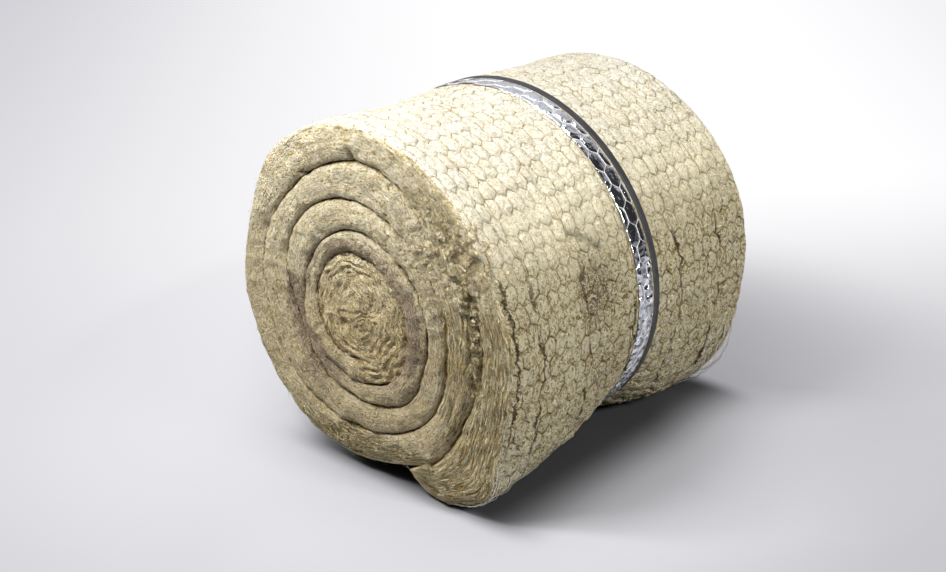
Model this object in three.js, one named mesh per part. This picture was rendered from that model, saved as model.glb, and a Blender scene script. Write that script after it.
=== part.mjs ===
// A roll of mineral-wool mat, lying on its side: a thick wool blanket wound up in a spiral on its
// own crumpled start, with its loose end under the roll, a strip of metallised foil round its
// waist and one strapping band pulled tight beside the foil.
//
// Millimetres. The roll's axis runs along Y, +Z is up, and the roll lies on z = 0. Its near end,
// which shows the laps wound clockwise towards the loose end, faces -Y.
import * as THREE from 'three';

// ---- Driving dimensions of the mat ----
const MAT_WIDTH = 600;            // the mat's width, which is the roll's length along Y
const MAT_THICKNESS = 62;         // of the outermost lap
const LAP_TIGHTENING = 0.9;       // each lap is squeezed to this share of the lap outside it
const CORE_RADIUS = 95;           // the crumpled start of the mat, where the laps stop showing
const NEAR_RADIUS = 322;          // from the axis to the outside of the loose end, at the near end
const FAR_RADIUS = 310;           // the same at the far end
const LOOSE_END_ANGLE = -61;      // degrees from +X towards +Z, where the loose end lies
const LOOSE_END_BULGE = 22;       // how far the loose end stands off a true spiral, at both ends
const LOOSE_END_REACH = 0.15;     // the share of a turn over which it stands off
const LAP_SAG = 20;               // how far the lap beside the loose end sags to the floor
const LAP_SAG_REACH = 0.3;        // the share of a turn over which it sags, up to the loose end
const TOP_RISE = 16;              // how much higher the near end stands than a true spiral
const TOP_RISE_START = 0.27;      // the share of a turn, from the loose end, where it starts to rise
const TOP_RISE_REACH = 0.34;      // the share of a turn over which it rises and falls
const NEAR_SIDE_BULGE = 8;        // how much further the near end stands out at the side it is wound up to
const NEAR_SIDE_START = 0.42;     // the share of a turn, from the loose end, where it starts to stand out
const NEAR_SIDE_REACH = 0.5;
const FAR_SIDE_BULGE = 11;        // how much further the far end stands out at the loose end's side
const FAR_SIDE_START = 0.03;
const FAR_SIDE_REACH = 0.42;
const SAG_FROM_NEAR_END = 55;     // the lap sags in full from this far behind the near end
const CORE_SHIFT = 13;            // how far the crumpled start lies off the middle of the outer lap
const CORE_SHIFT_ANGLE = 170;     // degrees from +X towards +Z, the way it lies off
const CORE_SHIFT_START = 0.9;     // in turns from the loose end, where the laps start to lie off
const CORE_SHIFT_REACH = 0.4;
const EDGE_ROUNDING = 6;          // how far the mat's cut edges are rounded back, at both ends
const LAP_GROOVE = 13;            // depth of the groove between two laps, on the ends
const CORE_DIMPLE = 10;           // how far the middle of the crumpled start lies back

// ---- Driving dimensions of the waist ----
const WAIST_RADIUS = 316;         // from the axis to the outside of the outer lap, at the band
const WAIST_THICKNESS = 55;       // of the outer lap, squeezed by the band
const LOOSE_END_PINCH = 24;       // how much further the band pulls the loose end in
const LOOSE_END_PINCH_REACH = 0.2;   // the share of a turn over which that pull dies away
const WAIST_LIFT = 18;            // height of the waist's underside above the floor
const NEAR_FLARE = 2;             // 1 is a straight flare from the waist to the end, more is fuller
const FAR_FLARE = 3;

// ---- Driving dimensions of the strapping band and the foil ----
const BAND_FROM_MIDDLE = 45;      // from the middle of the roll to the band's centre line
const BAND_WIDTH = 13;
const BAND_THICKNESS = 1;
const FOIL_WIDTH = 34;
const FOIL_THICKNESS = 0.5;
const FOIL_TO_BAND = 5;           // the strip of bare wool between the foil and the band
const CLEARANCE = 0.3;            // between the wool and what is laid round it

// ---- How finely the round forms are divided ----
const STEPS_PER_TURN = 48;
const STEPS_ALONG_FLARE = 5;
const CORE_CROWN_SHARE = 0.6;

// A lap's rounded end, from its outer edge to its inner one: shares of its thickness, and how much
// of the groove's depth is left there. Its crown is flat.
const LAP_PROFILE = [[0.08, 0.38], [0.25, 0], [0.75, 0], [0.92, 0.38]];

const HALF_WIDTH = MAT_WIDTH / 2;
const WAIST_START = BAND_FROM_MIDDLE - BAND_WIDTH / 2 - FOIL_TO_BAND - FOIL_WIDTH;
const WAIST_END = BAND_FROM_MIDDLE + BAND_WIDTH / 2;

const mix = THREE.MathUtils.lerp;
const clamp01 = (value) => THREE.MathUtils.clamp(value, 0, 1);

// ---- The section of the roll ----

function angleAt(step) {
  return THREE.MathUtils.degToRad(LOOSE_END_ANGLE) + (2 * Math.PI * step) / STEPS_PER_TURN;
}

// 1 at the waist, 0 at both ends.
function waistShare(y) {
  const near = clamp01((WAIST_START - y) / (WAIST_START + HALF_WIDTH));
  const far = clamp01((y - WAIST_END) / (HALF_WIDTH - WAIST_END));
  return (1 - near) ** NEAR_FLARE * (1 - far) ** FAR_FLARE;
}

// 0 at both ends of a reach and 1 in its middle, with soft starts.
function humped(share) {
  return Math.sin(Math.PI * share) ** 2;
}

function humpedFrom(turns, start, reach) {
  return humped(clamp01((turns - start) / reach));
}

// Distance from the axis to the outside of the mat, a number of steps in from the loose end.
function radiusAt(step, y) {
  const turns = step / STEPS_PER_TURN;
  const waist = waistShare(y);
  const along = clamp01((y + HALF_WIDTH) / MAT_WIDTH);
  const outside = mix(mix(NEAR_RADIUS, FAR_RADIUS, along), WAIST_RADIUS, waist);
  const thickness = mix(MAT_THICKNESS, WAIST_THICKNESS, waist);
  const wound = (thickness * (1 - LAP_TIGHTENING ** turns)) / (1 - LAP_TIGHTENING);
  const pinch = LOOSE_END_PINCH * waist * (1 - clamp01(turns / LOOSE_END_PINCH_REACH)) ** 2;
  const bulge = LOOSE_END_BULGE * (1 - waist) * humped(clamp01(turns / LOOSE_END_REACH) ** 0.6);
  const sagging = (1 - waist) * clamp01((y + HALF_WIDTH) / SAG_FROM_NEAR_END);
  const sag = LAP_SAG * sagging * humped(clamp01(1 - (1 - turns) / LAP_SAG_REACH));
  const nearEnd = (1 - along) * (1 - waist);
  const rise = TOP_RISE * nearEnd * humpedFrom(turns, TOP_RISE_START, TOP_RISE_REACH);
  const nearSide = NEAR_SIDE_BULGE * nearEnd * humpedFrom(turns, NEAR_SIDE_START, NEAR_SIDE_REACH);
  const farEnd = along * (1 - waist);
  const farSide = FAR_SIDE_BULGE * farEnd * humpedFrom(turns, FAR_SIDE_START, FAR_SIDE_REACH);
  const wayOff = angleAt(step) - THREE.MathUtils.degToRad(CORE_SHIFT_ANGLE);
  const shift = CORE_SHIFT * clamp01((turns - CORE_SHIFT_START) / CORE_SHIFT_REACH) * Math.cos(wayOff);
  return outside - wound - pinch + bulge + sag + rise + nearSide + farSide + shift;
}

// The mat's outer face at one place along the roll, as points [x, z] round the axis.
function outlineAt(y) {
  const points = [];
  for (let step = 0; step < STEPS_PER_TURN; step += 1) {
    const radius = radiusAt(step, y);
    points.push([radius * Math.cos(angleAt(step)), radius * Math.sin(angleAt(step))]);
  }
  return points;
}

// Height of the axis there: both ends lie on the floor, and the waist is held clear of it.
function axisHeightAt(y) {
  const lowest = Math.min(...outlineAt(y).map(([, z]) => z));
  return WAIST_LIFT * waistShare(y) - lowest;
}

// ---- A small closed-mesh builder ----

class MeshBuilder {
  constructor() {
    this.positions = [];
    this.indices = [];
  }

  point(x, y, z) {
    this.positions.push(x, y, z);
    return this.positions.length / 3 - 1;
  }

  // A flat polygon round its first corner. Repeated corners are left out.
  face(corners, flipped = false) {
    const round = corners.filter((corner, i) => corner !== corners[(i + 1) % corners.length]);
    for (let i = 1; i + 1 < round.length; i += 1) {
      const triangle = [round[0], round[i], round[i + 1]];
      this.indices.push(...(flipped ? triangle.reverse() : triangle));
    }
  }

  build() {
    const geometry = new THREE.BufferGeometry();
    geometry.setAttribute('position', new THREE.Float32BufferAttribute(this.positions, 3));
    geometry.setIndex(this.indices);
    geometry.computeVertexNormals();
    return geometry;
  }
}

// ---- The wool mat ----

// Places along the roll, from rim to rim: the two flares are divided evenly, the waist is straight.
function stations() {
  const rim = HALF_WIDTH - EDGE_ROUNDING;
  const list = [];
  for (let i = 0; i < STEPS_ALONG_FLARE; i += 1) {
    list.push(mix(-rim, WAIST_START, i / STEPS_ALONG_FLARE));
  }
  for (let i = 0; i <= STEPS_ALONG_FLARE; i += 1) {
    list.push(mix(WAIST_END, rim, i / STEPS_ALONG_FLARE));
  }
  list.splice(STEPS_ALONG_FLARE, 0, WAIST_START);
  return list;
}

// One ring of the side: the outer face, then points across the cut face of the loose end.
function addRing(mesh, y, endY) {
  const height = axisHeightAt(y);
  const outline = outlineAt(y);
  const ring = outline.map(([x, z]) => mesh.point(x, y, z + height));
  const [footX, footZ] = outline[outline.length - 1];
  const [lipX, lipZ] = outline[0];
  for (const [share, left] of [...LAP_PROFILE].reverse()) {
    const pointY = mix(endY, y, left);
    ring.push(mesh.point(mix(lipX, footX, share), pointY, mix(lipZ, footZ, share) + height));
  }
  return ring;
}

// One end of the roll: each lap is a crowned band, and neighbouring laps meet in a groove.
function addEnd(mesh, ring, side) {
  const endY = side * HALF_WIDTH;
  const rimY = side * (HALF_WIDTH - EDGE_ROUNDING);
  const grooveY = side * (HALF_WIDTH - LAP_GROOVE);
  const height = axisHeightAt(rimY);
  const flipped = side > 0;
  const polar = (step, radius, y) =>
    mesh.point(radius * Math.cos(angleAt(step)), y, height + radius * Math.sin(angleAt(step)));

  const groove = ring.slice(0, STEPS_PER_TURN);
  for (let step = STEPS_PER_TURN; radiusAt(step, rimY) > CORE_RADIUS; step += 1) {
    groove.push(polar(step, radiusAt(step, rimY), grooveY));
  }

  const lastLine = groove.length - 1 - STEPS_PER_TURN;
  const foot = ring[STEPS_PER_TURN - 1];
  const cutFace = ring.slice(STEPS_PER_TURN).reverse();
  let line = [ring[0], ...cutFace, foot];
  for (let step = 0; step <= lastLine; step += 1) {
    const outer = radiusAt(step, rimY);
    const inner = radiusAt(step + STEPS_PER_TURN, rimY);
    const across = LAP_PROFILE.map(([share, left]) => {
      const isRim = share < 0.5 && step < STEPS_PER_TURN;
      const depth = left * (isRim ? EDGE_ROUNDING : LAP_GROOVE);
      return polar(step, mix(outer, inner, share), side * (HALF_WIDTH - depth));
    });
    const next = [groove[step], ...across, groove[step + STEPS_PER_TURN]];
    for (let i = 0; i + 1 < line.length; i += 1) {
      mesh.face([line[i], next[i], next[i + 1], line[i + 1]], flipped);
    }
    line = next;
  }

  // The crumpled start of the mat fills the space inside the last lap: a crown round a dimple.
  const edge = groove.slice(lastLine + 1);
  const middleX = CORE_SHIFT * Math.cos(THREE.MathUtils.degToRad(CORE_SHIFT_ANGLE));
  const middleZ = CORE_SHIFT * Math.sin(THREE.MathUtils.degToRad(CORE_SHIFT_ANGLE)) + height;
  const crown = edge.map((_, i) => {
    const step = lastLine + 1 + i;
    const x = radiusAt(step, rimY) * Math.cos(angleAt(step));
    const z = radiusAt(step, rimY) * Math.sin(angleAt(step)) + height;
    return mesh.point(mix(middleX, x, CORE_CROWN_SHARE), endY, mix(middleZ, z, CORE_CROWN_SHARE));
  });
  const middle = mesh.point(middleX, side * (HALF_WIDTH - CORE_DIMPLE), middleZ);
  for (let i = 0; i + 1 < edge.length; i += 1) {
    mesh.face([edge[i], edge[i + 1], crown[i + 1], crown[i]], flipped);
    mesh.face([crown[i], crown[i + 1], middle], flipped);
  }
  mesh.face([crown[0], crown.at(-1), ...line.reverse(), edge[0]], flipped);
  mesh.face([crown.at(-1), crown[0], middle], flipped);
}

function makeWoolMat() {
  const mesh = new MeshBuilder();
  const places = stations();
  const rings = places.map((y, i) => {
    const isEnd = i === 0 || i === places.length - 1;
    return addRing(mesh, y, isEnd ? Math.sign(y) * HALF_WIDTH : y);
  });
  for (let i = 0; i + 1 < rings.length; i += 1) {
    for (let j = 0; j < rings[i].length; j += 1) {
      const next = (j + 1) % rings[i].length;
      mesh.face([rings[i][j], rings[i + 1][j], rings[i + 1][next], rings[i][next]]);
    }
  }
  addEnd(mesh, rings[0], -1);
  addEnd(mesh, rings[rings.length - 1], 1);
  return mesh.build();
}

// ---- The band and the foil ----

// The corners of a taut loop round the given points.
function convexHull(points) {
  const sorted = [...points].sort((a, b) => a[0] - b[0] || a[1] - b[1]);
  const turnsLeft = (a, b, c) => (b[0] - a[0]) * (c[1] - a[1]) > (b[1] - a[1]) * (c[0] - a[0]);
  const half = (list) => {
    const chain = [];
    for (const point of list) {
      while (chain.length > 1 && !turnsLeft(chain.at(-2), chain.at(-1), point)) {
        chain.pop();
      }
      chain.push(point);
    }
    return chain.slice(0, -1);
  };
  return [...half(sorted), ...half(sorted.reverse())];
}

// The same convex loop, moved outwards by a distance.
function grown(loop, distance) {
  return loop.map((point, i) => {
    const here = new THREE.Vector2(...point);
    const before = new THREE.Vector2(...loop.at(i - 1));
    const after = new THREE.Vector2(...loop[(i + 1) % loop.length]);
    const into = here.clone().sub(before).normalize();
    const out = after.sub(here).normalize();
    const bisector = new THREE.Vector2(into.y + out.y, -into.x - out.x).normalize();
    return here.addScaledVector(bisector, distance / (bisector.x * into.y - bisector.y * into.x));
  });
}

// Extrudes a section drawn in X and Z along Y, between two places on the roll.
function extrudeAlongRoll(shape, fromY, toY) {
  const geometry = new THREE.ExtrudeGeometry(shape, { depth: toY - fromY, bevelEnabled: false });
  geometry.rotateX(Math.PI / 2);
  geometry.translate(0, toY, axisHeightAt(BAND_FROM_MIDDLE));
  return geometry;
}

function makeBand() {
  const loop = convexHull(outlineAt(BAND_FROM_MIDDLE));
  const shape = new THREE.Shape(grown(loop, CLEARANCE + BAND_THICKNESS));
  shape.holes.push(new THREE.Path(grown(loop, CLEARANCE)));
  return extrudeAlongRoll(shape, WAIST_END - BAND_WIDTH, WAIST_END);
}

// The foil lies on the mat's outer face from the loose end round to where that end covers it.
function makeFoil() {
  const outline = outlineAt(BAND_FROM_MIDDLE).slice(0, -1);
  const lifted = (distance) =>
    outline.map((point) => {
      const ray = new THREE.Vector2(...point);
      return ray.setLength(ray.length() + distance);
    });
  const outside = lifted(CLEARANCE + FOIL_THICKNESS);
  const inside = lifted(CLEARANCE).reverse();
  const shape = new THREE.Shape([...outside, ...inside]);
  return extrudeAlongRoll(shape, WAIST_START, WAIST_START + FOIL_WIDTH);
}

// ---- The roll ----

function part(name, geometry, material) {
  const mesh = new THREE.Mesh(geometry, new THREE.MeshStandardMaterial(material));
  mesh.name = name;
  return mesh;
}

const roll = new THREE.Group();
roll.add(part('wool_mat', makeWoolMat(), { color: 0xcfc4a0, roughness: 0.95, metalness: 0 }));
roll.add(part('foil_strip', makeFoil(), { color: 0xc3c6c9, roughness: 0.25, metalness: 1 }));
roll.add(part('strap', makeBand(), { color: 0x3a3b3d, roughness: 0.45, metalness: 0 }));

// The roll's own reference point is on the floor, under the middle of its box.
const box = new THREE.Box3().setFromObject(roll);
roll.position.set(-(box.min.x + box.max.x) / 2, 0, -box.min.z);

export default roll;
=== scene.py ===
"""Dresses the insulation roll: a wired mineral-wool mat rolled up on its side, with a foil strip and a
strapping band round its waist.

Shapes are worked out in millimetres, in the part's own frame, and go to Blender in metres. The roll's
axis runs along Y, and a place on the spiral is given in turns, counted inwards from the loose end.
"""
import math

import bmesh
import bpy
import numpy as np
from mathutils import Matrix, Vector
from mathutils.bvhtree import BVHTree
from mathutils.geometry import delaunay_2d_cdt


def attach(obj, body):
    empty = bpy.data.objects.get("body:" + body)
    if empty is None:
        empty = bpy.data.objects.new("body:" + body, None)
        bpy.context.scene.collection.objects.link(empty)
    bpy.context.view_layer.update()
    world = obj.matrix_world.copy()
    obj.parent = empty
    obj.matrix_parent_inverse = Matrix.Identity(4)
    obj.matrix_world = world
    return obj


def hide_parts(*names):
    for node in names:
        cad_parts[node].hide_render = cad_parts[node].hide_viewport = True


MM = 0.001                      # metres in a millimetre

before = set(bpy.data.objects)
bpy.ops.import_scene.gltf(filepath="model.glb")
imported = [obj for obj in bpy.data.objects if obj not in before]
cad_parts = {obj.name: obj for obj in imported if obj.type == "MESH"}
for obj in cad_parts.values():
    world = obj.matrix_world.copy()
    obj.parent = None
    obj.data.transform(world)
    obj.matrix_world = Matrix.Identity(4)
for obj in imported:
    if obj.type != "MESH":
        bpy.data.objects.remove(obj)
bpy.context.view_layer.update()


# ---- Camera ----

CAMERA_PLACE = (1.7766, -1.9386, 1.4143)    # metres
CAMERA_AZIMUTH = 43.41                      # degrees, 0 looks along +Y
CAMERA_ELEVATION = 24.20
CAMERA_ROLL = -2.57
LENS_MM = 65.97                             # on a sensor 36 mm wide
SENSOR_MM = 36.0


def add_object(name, data):
    thing = bpy.data.objects.new(name, data)
    bpy.context.scene.collection.objects.link(thing)
    return thing


def add_camera():
    azimuth, elevation = math.radians(CAMERA_AZIMUTH), math.radians(CAMERA_ELEVATION)
    back = Vector((math.sin(azimuth) * math.cos(elevation), -math.cos(azimuth) * math.cos(elevation),
                   math.sin(elevation)))
    right = Vector((0, 0, 1)).cross(back).normalized()
    turn = Matrix.Rotation(math.radians(CAMERA_ROLL), 3, back)
    axes = Matrix((turn @ right, turn @ back.cross(right), back)).transposed().to_4x4()
    data = bpy.data.cameras.new("camera")
    data.lens, data.sensor_width = LENS_MM, SENSOR_MM
    data.clip_start, data.clip_end = 0.05, 60.0
    camera = add_object("camera", data)
    camera.matrix_world = Matrix.Translation(CAMERA_PLACE) @ axes
    bpy.context.scene.camera = camera


add_camera()


# ---- Driving dimensions, as in the part's solids ----

HALF_WIDTH = 300.0              # half the mat's width
MAT_THICKNESS = 62.0
LAP_TIGHTENING = 0.9
NEAR_RADIUS = 322.0
FAR_RADIUS = 310.0
LOOSE_END_ANGLE = -61.0
LOOSE_END_BULGE, LOOSE_END_REACH = 22.0, 0.15
LAP_SAG, LAP_SAG_REACH, SAG_FROM_NEAR_END = 20.0, 0.3, 55.0
TOP_RISE, TOP_RISE_START, TOP_RISE_REACH = 16.0, 0.27, 0.34
NEAR_SIDE_BULGE, NEAR_SIDE_START, NEAR_SIDE_REACH = 8.0, 0.42, 0.5
FAR_SIDE_BULGE, FAR_SIDE_START, FAR_SIDE_REACH = 11.0, 0.03, 0.42
CORE_SHIFT, CORE_SHIFT_ANGLE, CORE_SHIFT_START, CORE_SHIFT_REACH = 13.0, 170.0, 0.9, 0.4
WAIST_RADIUS, WAIST_THICKNESS, WAIST_LIFT = 316.0, 55.0, 18.0
LOOSE_END_PINCH, LOOSE_END_PINCH_REACH = 24.0, 0.2
NEAR_FLARE, FAR_FLARE = 2, 3
BAND_MIDDLE, BAND_WIDTH, BAND_THICKNESS = 45.0, 13.0, 1.0
FOIL_WIDTH, FOIL_TO_BAND, CLEARANCE = 34.0, 5.0, 0.3
AXIS_X = -11.8                  # where the winding axis stands, left of the box's middle
WAIST_START = BAND_MIDDLE - BAND_WIDTH / 2 - FOIL_TO_BAND - FOIL_WIDTH
WAIST_END = BAND_MIDDLE + BAND_WIDTH / 2
FOIL_END = WAIST_START + FOIL_WIDTH
FOIL_MIDDLE = WAIST_START + FOIL_WIDTH / 2

# How the laps on the near end stray from a plain spiral, as (turn, millimetres outwards).
NEAR_END_STRAY = [
    (-0.02, 0), (0.02, -6), (0.05, 0), (0.08, -14), (0.10, -13), (0.14, -8), (0.19, -1), (0.24, 1),
    (0.30, 7), (0.34, 8), (0.41, 2), (0.48, -1), (0.53, 4), (0.60, -2), (0.64, 1), (0.68, 10),
    (0.72, 10), (0.78, 12), (0.83, 13), (0.88, 4), (0.93, -8), (0.97, -10), (1.00, -8),
    (1.04, -14), (1.09, -22), (1.14, -14), (1.21, 2), (1.27, -9), (1.31, -5), (1.36, 12), (1.42, 17),
    (1.47, 9), (1.54, 2), (1.62, 7), (1.67, 5), (1.77, 12), (1.82, 10), (1.88, -1), (1.95, -9),
    (2.04, -14), (2.14, -23), (2.21, -17), (2.29, -13), (2.35, -4), (2.43, 7), (2.54, 12), (2.61, 8),
    (2.67, -6), (2.74, -10), (2.84, -2), (2.92, -6), (3.00, -3), (3.11, -16), (3.20, -11), (3.33, -2),
    (3.42, 6), (3.51, 6), (3.61, 8), (3.70, 19), (3.77, 21), (3.85, 13), (3.94, 6), (4.03, -3),
    (4.13, -14), (4.26, -8), (4.40, 8), (4.50, 18), (4.70, 27), (4.78, 27), (4.89, 13), (5.0, 5),
]
END_STRAY_REACH = 95.0          # how far in from the end the outer lap still strays
FAR_END_STRAY = 4.0             # the same on the far end, at random
TURNS_ON_END = 3.9              # turns of the strip between the loose end and the crumpled start
END_INSET = 6.0                 # how far in from the ends their outlines are taken


# ---- Repeatable noise ----

class Noise:
    """Smooth noise between about -1 and 1 over points in space, the same on each run."""

    def __init__(self, seed):
        random = np.random.default_rng(seed)
        self.table = np.tile(random.permutation(256), 3)
        angles = random.uniform(0, 2 * np.pi, 256)
        heights = random.uniform(-1, 1, 256)
        flat = np.sqrt(1 - heights**2)
        self.slopes = np.stack([flat * np.cos(angles), flat * np.sin(angles), heights], -1)

    def __call__(self, x, y, z=0.0):
        x, y, z = np.broadcast_arrays(*(np.asarray(v, float) for v in (x, y, z)))
        place = np.stack([x, y, z], -1)
        cell = np.floor(place).astype(int)
        part = place - cell
        ease = part * part * part * (part * (part * 6 - 15) + 10)
        cell &= 255
        total = 0.0
        for corner in np.ndindex(2, 2, 2):
            key = self.table[self.table[self.table[cell[..., 0] + corner[0]] + cell[..., 1] + corner[1]]
                             + cell[..., 2] + corner[2]]
            slope = (self.slopes[key] * (part - corner)).sum(-1)
            share = np.where(np.array(corner) == 1, ease, 1 - ease).prod(-1)
            total = total + slope * share
        return total * 1.6

    def layered(self, x, y, z=0.0, layers=3, fading=0.5):
        """Noise with finer and weaker layers added."""
        total = 0.0
        for layer in range(layers):
            scale = 2.0**layer
            total = total + fading**layer * self(np.asarray(x) * scale, np.asarray(y) * scale,
                                                 np.asarray(z) * scale)
        return total


lumps = Noise(11)
wrinkles = Noise(12)
drift = Noise(13)


def mix(a, b, share):
    return a + (b - a) * share


def clamp01(value):
    return np.clip(value, 0.0, 1.0)


def smooth(value):
    """0 below 0 and 1 above 1, with soft bends."""
    value = clamp01(value)
    return value * value * (3 - 2 * value)


def humped(share):
    return np.sin(np.pi * share) ** 2


def humped_from(turn, start, reach):
    return humped(clamp01((turn - start) / reach))


def bump(value, middle, reach):
    """1 at the middle, falling to 0 over the reach on either side."""
    return np.exp(-(((value - middle) / reach) ** 2) * 2)


def curve(pairs, at):
    """A smooth curve through (place, value) pairs."""
    x, y = np.array(pairs, float).T
    slope = np.gradient(y, x)
    at = np.clip(at, x[0], x[-1])
    i = np.clip(np.searchsorted(x, at) - 1, 0, len(x) - 2)
    span = x[i + 1] - x[i]
    s = (at - x[i]) / span
    return (
        y[i] * (1 + 2 * s) * (1 - s) ** 2 + slope[i] * span * s * (1 - s) ** 2
        + y[i + 1] * s**2 * (3 - 2 * s) - slope[i + 1] * span * s**2 * (1 - s)
    )


# ---- The section of the roll ----

def waist_share(y):
    near = clamp01((WAIST_START - y) / (WAIST_START + HALF_WIDTH))
    far = clamp01((y - WAIST_END) / (HALF_WIDTH - WAIST_END))
    return (1 - near) ** NEAR_FLARE * (1 - far) ** FAR_FLARE


def share_along(y):
    """0 on the near end and 1 on the far end."""
    return clamp01((y + HALF_WIDTH) / (2 * HALF_WIDTH))


def plain_radius(turn, y):
    """Distance from the axis to the outside of a mat wound evenly, but for its loose end and its top."""
    waist = waist_share(y)
    along = share_along(y)
    outside = mix(mix(NEAR_RADIUS, FAR_RADIUS, along), WAIST_RADIUS, waist)
    thickness = mix(MAT_THICKNESS, WAIST_THICKNESS, waist)
    wound = thickness * (1 - LAP_TIGHTENING**turn) / (1 - LAP_TIGHTENING)
    pinch = LOOSE_END_PINCH * waist * (1 - clamp01(turn / LOOSE_END_PINCH_REACH)) ** 2
    bulge = LOOSE_END_BULGE * (1 - waist) * humped(clamp01(turn / LOOSE_END_REACH) ** 0.6)
    top = humped_from(turn, TOP_RISE_START, TOP_RISE_REACH)
    rise = TOP_RISE * (1 - along) * (1 - waist) * top
    return outside - wound - pinch + bulge + rise


def true_radius(turn, y):
    """Distance from the axis to the outside of the mat, as in the solids."""
    apart = 1 - waist_share(y)
    along = share_along(y)
    sagging = apart * clamp01((y + HALF_WIDTH) / SAG_FROM_NEAR_END)
    sag = LAP_SAG * sagging * humped(clamp01(1 - (1 - turn) / LAP_SAG_REACH))
    near_side = NEAR_SIDE_BULGE * (1 - along) * apart * humped_from(turn, NEAR_SIDE_START, NEAR_SIDE_REACH)
    far_side = FAR_SIDE_BULGE * along * apart * humped_from(turn, FAR_SIDE_START, FAR_SIDE_REACH)
    way_off = np.cos(angle_at(turn) - math.radians(CORE_SHIFT_ANGLE))
    shift = CORE_SHIFT * clamp01((turn - CORE_SHIFT_START) / CORE_SHIFT_REACH) * way_off
    return plain_radius(turn, y) + sag + near_side + far_side + shift


def lap_radius(turn, y):
    """The same, with the laps where they lie on the near end, and with strays on the far end."""
    near = smooth(1 - (y + HALF_WIDTH) / END_STRAY_REACH)
    far = smooth(1 - (HALF_WIDTH - y) / END_STRAY_REACH)
    end = END_INSET - HALF_WIDTH
    measured = plain_radius(turn, end) + curve(NEAR_END_STRAY, turn) - true_radius(turn, end)
    angle = 2 * np.pi * turn
    wander = drift.layered(np.cos(angle) * 1.3, np.sin(angle) * 1.3, turn * 0.7 + 5, 2)
    return true_radius(turn, y) + near * measured + far * FAR_END_STRAY * wander


def angle_at(turn):
    return math.radians(LOOSE_END_ANGLE) + 2 * np.pi * turn


def axis_height(y):
    turn = np.arange(48)[:, None] / 48
    y = np.atleast_1d(y)
    lowest = (true_radius(turn, y) * np.sin(angle_at(turn))).min(0)
    return WAIST_LIFT * waist_share(y) - lowest


LEAST_HEIGHT = 0.5              # the floor presses the wool flat here
STATIONS = np.linspace(-HALF_WIDTH, HALF_WIDTH, 241)
HEIGHTS = axis_height(np.clip(STATIONS, -294, 294))


def place(turn, y, radius):
    """Points [x, y, z] of the roll."""
    turn, y, radius = np.broadcast_arrays(turn, y, radius)
    angle = angle_at(turn)
    height = np.interp(y, STATIONS, HEIGHTS) + radius * np.sin(angle)
    return np.stack([AXIS_X + radius * np.cos(angle), y, np.maximum(height, LEAST_HEIGHT)], -1)


# ---- The netting's lattice on the outer lap ----

MESH_WIDTH = 24                 # between the twisted sides of a cell
ROWS = 60                       # rows of cells round the outer lap
ROW_PITCH = 33                  # what that makes one row, on the roll's outside
ZIGZAG = 10                     # height of the zig-zag between two rows
CELLS_ACROSS = 25
CREASE_SLANT = 0.85             # turns a distance along the roll into one square to a zig-zag's wires
RIM = 295                       # where the netted face ends, at the roll's rims
SEAMS = [-234, -120, -6, 108, 214]      # along Y, where wire stitches hold the netting down
STITCH_ROWS = 2.7               # rows of cells between two stitches
RIM_CRACK = -287                # where the outer lap has come away from the netting


def held(y):
    """1 near the foil and the band, which keep the netting straight."""
    return smooth((y - WAIST_START + 14) / 12) * smooth((WAIST_END + 14 - y) / 12)


def zigzag(row, across):
    """Where the zig-zag line under a row lies, in rows, against the plain line."""
    share = np.abs(((across - 0.5 * (row % 2)) % 1) - 0.5) * 2
    fade = clamp01(row) * clamp01(ROWS - row)
    fade = fade * smooth(across * 2) * smooth((CELLS_ACROSS - across) * 2)
    return (2 * share - 1) * 0.5 * ZIGZAG / ROW_PITCH * fade


def on_lattice(across, along):
    """(turn, y) of a place given in cells across the mat and in rows along it."""
    row = np.minimum(np.floor(along), ROWS - 1)
    part = along - row
    line = mix(row + zigzag(row, across), row + 1 + zigzag(row + 1, across), part)
    y = -HALF_WIDTH + MESH_WIDTH * across
    loose = smooth((HALF_WIDTH - np.abs(y)) / 40) * (1 - 0.9 * held(y))
    start = smooth(line / 2) * smooth((ROWS - line) / 2)
    stray_y = 4.6 * drift(y / 55, line * 0.45, 3.3) + 3.4 * drift(y / 24, line * 1.1, 9.1)
    stray_line = 4.4 * drift(y / 60, line * 0.5, 17.7) + 3.6 * drift(y / 22, line * 1.1, 29.1)
    return (line + stray_line / ROW_PITCH * loose * start) / ROWS, y + loose * stray_y


PAD_RISE = 2.9                  # how far a cell's pad of wool stands above the wires
PAD_SINK = 2.1                  # how far the wires sink below the mat's outer face
PRESSED_SINK = 0.7              # how far the wool lies under the foil and the band


def pressed(y):
    """1 where the foil and the band press the wool flat."""
    return smooth((y - WAIST_START + 5) / 5) * smooth((WAIST_END + 4 - y) / 4)


CELL_RANDOM = np.random.default_rng(21).uniform(-1, 1, (ROWS + 2, CELLS_ACROSS + 3, 3))


def side_angle(along):
    """Where a row lies round the roll, in degrees from the right, anticlockwise on the near end."""
    return LOOSE_END_ANGLE + 360 * along / ROWS


def rougher_and_shaded(along):
    """1 low on the side that shows, where the netted wool is rougher and painted darker, partly as shade."""
    return smooth((34 - side_angle(along)) / 28)


def seam_at(seam, along):
    """Where along Y a stitched seam runs."""
    return seam + 3 * drift(along * 0.2, seam, 2)


def stitch_pull(number, along):
    """1 where a stitch of the seam with this number goes into the wool."""
    return np.cos(np.pi * along / STITCH_ROWS + 1.3 * number) ** 10


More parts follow.
